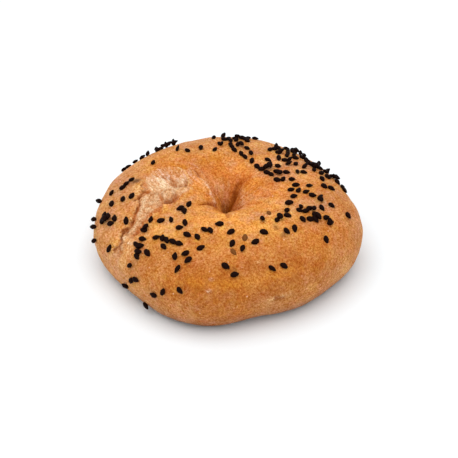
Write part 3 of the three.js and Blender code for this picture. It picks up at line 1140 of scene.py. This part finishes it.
# Each row says where one seed lies: its place, the way it points and so on, as in Lie.
STREWN: dict[Area, list[tuple]] = {
    Area.LEFT: [
        (-52, 9, 135, 40), (-47, 8, 65), (-46.5, 0, 80), (-42, 0.5, 75), (-38.3, 1, 60), (-47.8, -6.2, 85),
        (-42.5, 8.5, 30), (-41, 10.5, 45), (-39, 12.5, 5), (-53.5, -1, 135, 30), (-54, -5, 150, 30, 20),
        (-54, -10, 150, 20, 17), (-50, -6.5, 85), (-48.5, -5.5, 90), (-47, -7, 95), (-49, -7, 85),
        (-48, -8, 100), (-46.3, -10.8, 5), (-44.8, -9, 85), (-40, -12, 75, 30), (-46.5, -19.5, 45),
    ],
    Area.BACK_LEFT: [
        (-25.5, 39.5, 90, TALL), (-24.5, 39.5, 10), (-22.5, 40.5, 90, TALL), (-22, 40, 20), (-28, 37.5, 30),
        (-26.5, 38, -10), (-29.5, 36.5, 90, UP), (-29, 35, 40), (-33, 33, 60, UP), (-35.5, 32.7, 35),
        (-38.5, 32.2, 30), (-41.5, 30.4, 20), (-43, 27, 0), (-30.5, 22.5, 80), (-20.5, 30.5, 40, UP),
        (-16.5, 28.5, -40), (-11, 30.5, -75),
    ],
    Area.BACK: [
        (-5.5, 40, 80), (-1.5, 41, 70, UP), (-5, 29, 60), (-3, 33, -50), (-2, 32, -60), (-1, 37, 0),
        (0.5, 38, 45), (1.5, 36, -60), (1.5, 33, 80), (2, 31, -45), (3, 29, -45), (3.5, 38.5, 0),
        (4.5, 39, 30), (4, 36.5, 60), (4.5, 33, 85), (6, 32.5, -50), (8.5, 30.5, -55), (10, 27, -75),
        (6, 26.5, -65), (7.5, 24.5, -50), (10.5, 22, 70), (6.5, 39.5, 0), (8, 38.5, 20), (8.5, 36.5, -40),
        (9, 40, 40), (12, 41, 0),
    ],
    Area.BACK_RIGHT: [
        (12.5, 18, -45), (14.5, 16, 0), (17, 22, -35), (16.5, 18, 60), (17.5, 18, -70), (16.5, 16.5, 10),
        (18, 16.5, 80), (16.5, 13.5, -30), (18, 12, -50), (21, 17.5, -20), (20.5, 14, 20), (21, 12.5, -60),
        (22, 12.5, 80), (20.5, 8.5, -10), (23, 9, 60), (24.5, 13.5, -12), (26.5, 9, 20), (29, 14.5, 88),
        (21.5, 23.5, -85), (24, 22.5, 0), (26, 23, 20, UP), (25.5, 19.5, 0, UP), (28.5, 20.5, 60),
        (31.5, 14.5, 8), (32, 19, 50, 40), (39, 17.5, 30), (39, 12.5, -50),
    ],
    Area.RIM: [
        (18, 30, 55), (20.5, 33.5, 90, UP), (20, 31, 0), (21.5, 30.5, -40), (21.5, 28, -20),
        (22.5, 28.5, 30), (25, 34, -25), (25.5, 31, -80), (25.5, 28.5, 70), (25, 26.5, 80), (28, 35.5, 10),
        (28.5, 34.5, 70), (28, 32, -30), (29, 32.5, 40), (28, 28.5, 60), (28.5, 25.5, -20),
        (30.5, 31.5, 100, UP), (31.5, 28, 10), (32, 29, 50), (33, 27, -60), (33.5, 25, 0), (34, 23, -30),
        (35.5, 24, 60), (38, 25.5, 90, UP), (37.5, 23.5, 0), (36, 21.5, -50), (36, 18.5, 80),
        (35.5, 22, 20), (38.5, 21.5, -30), (36.5, 20, 45), (41.5, 22, 50, UP), (41, 20.5, 0),
        (41.5, 16, -20), (43, 18.5, 60), (44, 17.5, 0), (45, 18, -50), (44.5, 20, 60, UP),
        (45.5, 15.5, -50), (47.6, 13.5, -40), (48.2, 11.5, -40),
    ],
    Area.RIGHT: [
        (28, 5.5, 8), (26, 2.5, 15), (29, 2, 60), (32, 1.5, 35), (33.5, 5.5, 12), (34.5, -0.5, 0),
        (27, -2, 20), (25, -5.5, 0), (39.5, 7, -35), (42.5, 7, -25), (37.5, -1, 70), (37.5, -2.5, -60),
        (38, -7, -60), (42, -4, -20), (48.5, -7, -65), (29, -10.5, -25), (29.5, -9, 60), (31.5, -10.5, 45),
        (33, -8.5, 45), (34.5, -9, 80), (35, -12.5, -50), (36, -13, -55), (33, -15, -5), (35, -14.5, -60),
        (30, -15.5, -60), (39.5, -12, 45), (41, -14, 30), (40.5, -14, 120), (24, -10.5, 70), (24, -14, -20),
        (20, -16.5, 60), (21, -15.5, -60), (14, -16.5, -90, 40), (23.5, -22, -45), (26.5, -20.5, -80),
        (39, -21.5, -80),
    ],
    Area.FRONT: [
        (-3, -19.5, 190), (-8.5, -22.5, -25), (-6.5, -23, -70), (-11.5, -26, -58), (1.5, -24, 220),
        (2, -29.5, 245), (6, -31.5, 232), (11, -28, 222), (14.5, -23.5, -15), (-10, -31.5, 10),
        (-0.5, -39, -30), (3, -41.5, 12), (17.5, -37.5, -45), (22, -36, -28),
    ],
    Area.FRONT_LEFT: [
        (-18.5, -9.5, 205), (-17, -11, -75), (-15, -7, 60), (-22, -15.5, 100), (-16.5, -18, 270),
        (-18.5, -20.5, 5), (-15.5, -24.5, -38), (-30, -14, 80), (-26, -15.5, 5), (-32.5, -18.5, -40),
        (-31.5, -17.5, 60), (-27.5, -23.5, 5), (-25, -24.5, 85), (-23.5, -26, -70), (-21, -27, 145),
        (-18.5, -28.5, -12), (-24.5, -28.5, -45), (-33, -22.5, -20), (-35.5, -24, -60), (-34, -25, 0),
        (-34.5, -27, -20), (-31, -29, -65), (-35, -28.5, -70), (-37.5, -29.5, -20, 20, 21),
        (-37.5, -32, 40, 0, 15.5), (-35.5, -34, -40, 0, 17.5), (-40, -28, 55, 20, 9.5), (-20, -33.5, 75),
        (-16, -33, 198), (-15, -36, 220), (-19, -38.5, 240), (-28.5, -40.5, 155, 0, 15.5),
        (-24.5, -42.5, 60, 0, 19), (-18, -45, -55, 0, 21.5), (-32, -34.5, -73, 20, 4.5),
    ],
    Area.SUNK: [
        (7.1, -26, 80), (2.6, -33, -52), (16.7, -12, -75),
    ],
}


@dataclass
class SeedStrewing:
    """Nigella seeds, each a small angular teardrop, dropped on the crust one after another."""

    length: float = 3.45
    breadth: float = 2.25
    thickness: float = 1.75
    leans: Sequence[float] = (-0.1, 0.06, 0.12, -0.04)
    chance: random.Random = field(default_factory=lambda: random.Random(7))

    def model_kind(self, number: int, lean: float) -> Piece:
        """Models one seed at true size, lying along X, its tip at +X.

        Args:
            number: which of the kinds; a later one tapers more.
            lean: how far its tip leans to one side.

        Returns:
            The seed's mesh object.
        """
        bpy.ops.object.select_all(action="DESELECT")
        bpy.ops.mesh.primitive_uv_sphere_add(segments=8, ring_count=6, radius=0.5)
        seed = bpy.context.object
        seed.name = f"seed_kind_{number}"
        with editing(seed):
            bpy.ops.transform.rotate(value=math.pi / 2, orient_axis="Y", center_override=(0, 0, 0))
            bpy.ops.transform.resize(value=(self.length * MM, self.breadth * MM, self.thickness * MM))
        places = rows_of(seed.data.vertices, "co") / MM
        along = places[:, 0] / self.length
        thin = 1 - (0.24 + 0.08 * number) * smoothstep(-0.05, 0.5, along)
        places[:, 1:] *= thin[:, None]
        places[:, 1] += lean * self.length * along**2
        ridge = 1 + 0.07 * np.cos(3 * np.arctan2(places[:, 2], places[:, 1]))
        places[:, 1:] *= ridge[:, None]
        move_to(seed, places)
        bpy.ops.object.shade_smooth()
        return seed

    def landing(self, bread: BVHTree, lie: Lie) -> tuple[Vector, Vector]:
        """Where a seed meets the crust.

        Args:
            bread: the crust, ready for ray casting.
            lie: where the seed lies.

        Returns:
            The point and the direction out of the crust there.
        """
        spot = Vector((lie.x + HOLE[0], lie.y + HOLE[1], 0)) * MM
        if lie.height is None:
            start, towards = spot + Vector((0, 0, 60 * MM)), Vector((0, 0, -1))
        else:
            start, towards = spot * 1.5 + Vector((0, 0, lie.height * MM)), -spot.normalized()
        return bread.ray_cast(start, towards)[:2]

    def strew(self, crust: Piece, name: str, areas: Sequence[Area]) -> Piece:
        """Drops the seeds of some areas and joins them into one piece.

        Args:
            crust: the finished bread.
            name: what the piece is called.
            areas: the areas strewn.

        Returns:
            The seeds' mesh object.
        """
        kinds = [self.model_kind(number, lean) for number, lean in enumerate(self.leans)]
        bread = BVHTree.FromObject(crust, bpy.context.evaluated_depsgraph_get())
        lying: list[Vector] = []
        seeds = []
        for area, lie in ((area, Lie(*row)) for area in areas for row in STREWN[area]):
            point, normal = self.landing(bread, lie)
            below = sum((other - point).length < 0.75 * self.breadth * MM for other in lying)
            sunk = area is Area.SUNK
            lift = 0.0 if sunk else (0.34 + 0.45 * min(below, 2)) * self.thickness
            lift += 0.5 * (self.length - self.thickness) * math.sin(math.radians(lie.stands))
            tilt = -lie.stands + self.chance.gauss(0, 5)
            if below:
                tilt += self.chance.uniform(-25, 25)
            pose = (
                Vector((0, 0, 1)).rotation_difference(normal)
                @ Quaternion((0, 0, 1), math.radians(lie.points + self.chance.gauss(0, 6)))
                @ Quaternion((0, 1, 0), math.radians(tilt))
                @ Quaternion((1, 0, 0), math.radians(self.chance.gauss(0, 20)))
            )
            size = self.chance.uniform(0.93, 1.08) * (1.04 - 0.14 * float(smoothstep(-20, 25, lie.y)))
            seed = self.chance.choice(kinds).copy()
            seed.data = seed.data.copy()
            seed.data.transform(Matrix.LocRotScale(point + normal * lift * MM, pose, Vector((size,) * 3)))
            bpy.context.scene.collection.objects.link(seed)
            seeds.append(seed)
            lying.append(point)
        work_on(seeds[0])
        for seed in seeds:
            seed.select_set(True)
        bpy.ops.object.join()
        joined = bpy.context.object
        joined.name = name
        for kind in kinds:
            bpy.data.objects.remove(kind)
        return joined


# ---------- The studio ----------


@dataclass
class Studio:
    """A white table under a broad soft light, and a camera that looks down on the ring.

    Sizes are in metres, except the sensor's, which is in millimetres. spans is how wide a view the
    camera takes in at its distance, and higher is how far above looks_at its middle lies.
    """

    table_size: float = 6.0
    surround: float = 0.8
    lamp_place: tuple[float, float, float] = (-0.07, -0.14, 0.85)
    lamp_size: tuple[float, float] = (1.0, 0.8)
    lamp_power: float = 4.6
    elevation: float = 40.0
    distance: float = 0.6
    spans: float = 0.187
    sensor: float = 36.0
    looks_at: tuple[float, float, float] = (0.46 * MM, -5.35 * MM, 17 * MM)
    higher: float = 1.22 * MM

    def table(self) -> Piece:
        """Builds the floor that the bread stands on.

        Returns:
            The floor's mesh object.
        """
        bpy.ops.object.select_all(action="DESELECT")
        bpy.ops.mesh.primitive_plane_add(size=self.table_size)
        floor = bpy.context.object
        floor.name = "white_floor"
        floor.data.materials.append(TableFinish().material())
        return floor

    def light(self) -> None:
        """A pale surround and one large soft lamp overhead."""
        world = bpy.data.worlds.new("pale_surround")
        world.use_nodes = True
        surround = world.node_tree.nodes["Background"].inputs
        surround["Color"].default_value = (1, 1, 1, 1)
        surround["Strength"].default_value = self.surround
        bpy.context.scene.world = world
        turn = Vector(self.lamp_place).to_track_quat("Z", "Y").to_euler()
        bpy.ops.object.light_add(type="AREA", location=self.lamp_place, rotation=turn)
        lamp = bpy.context.object
        lamp.name = "overhead_softbox"
        lamp.data.shape = "RECTANGLE"
        lamp.data.size, lamp.data.size_y = self.lamp_size
        lamp.data.energy = self.lamp_power

    def camera(self) -> Piece:
        """Sets up the camera, at the height that shows the ring best.

        Returns:
            The camera.
        """
        data = bpy.data.cameras.new("camera")
        data.sensor_width = self.sensor
        data.lens = self.sensor * self.distance / self.spans
        camera = bpy.data.objects.new("camera", data)
        bpy.context.scene.collection.objects.link(camera)
        rise = math.radians(self.elevation)
        view = Vector((0, math.cos(rise), -math.sin(rise)))
        up = Vector((0, math.sin(rise), math.cos(rise)))
        camera.location = Vector(self.looks_at) + up * self.higher - view * self.distance
        camera.rotation_euler = view.to_track_quat("-Z", "Y").to_euler()
        bpy.context.scene.camera = camera
        return camera


def main() -> None:
    """Builds the bread, its seeds and the studio, in that order."""
    logging.basicConfig(level=logging.INFO, format="%(name)s: %(message)s")
    bpy.context.scene.view_settings.view_transform = "Standard"

    crust = BreadRing().build()
    crust.data.materials.append(CrustFinish().material(Patterns()))
    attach(crust, "root")
    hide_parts("bread")
    LOG.info("bread ring: %d faces", len(crust.data.polygons))

    strewing = SeedStrewing()
    loose = [area for area in Area if area is not Area.SUNK]
    glazed = SeedFinish("glazed_seed", coat=(96, 54, 22), worn=(134, 82, 38))
    for name, areas, finish in (("nigella_seeds", loose, SeedFinish()), ("sunk_seeds", [Area.SUNK], glazed)):
        seeds = strewing.strew(crust, name, areas)
        seeds.data.materials.append(finish.material())
        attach(seeds, "root")
        number = sum(len(STREWN[area]) for area in areas)
        LOG.info("%s: %d seeds, %d faces", name, number, len(seeds.data.polygons))

    studio = Studio()
    studio.table()
    studio.light()
    studio.camera()


if __name__ == "__main__":
    main()
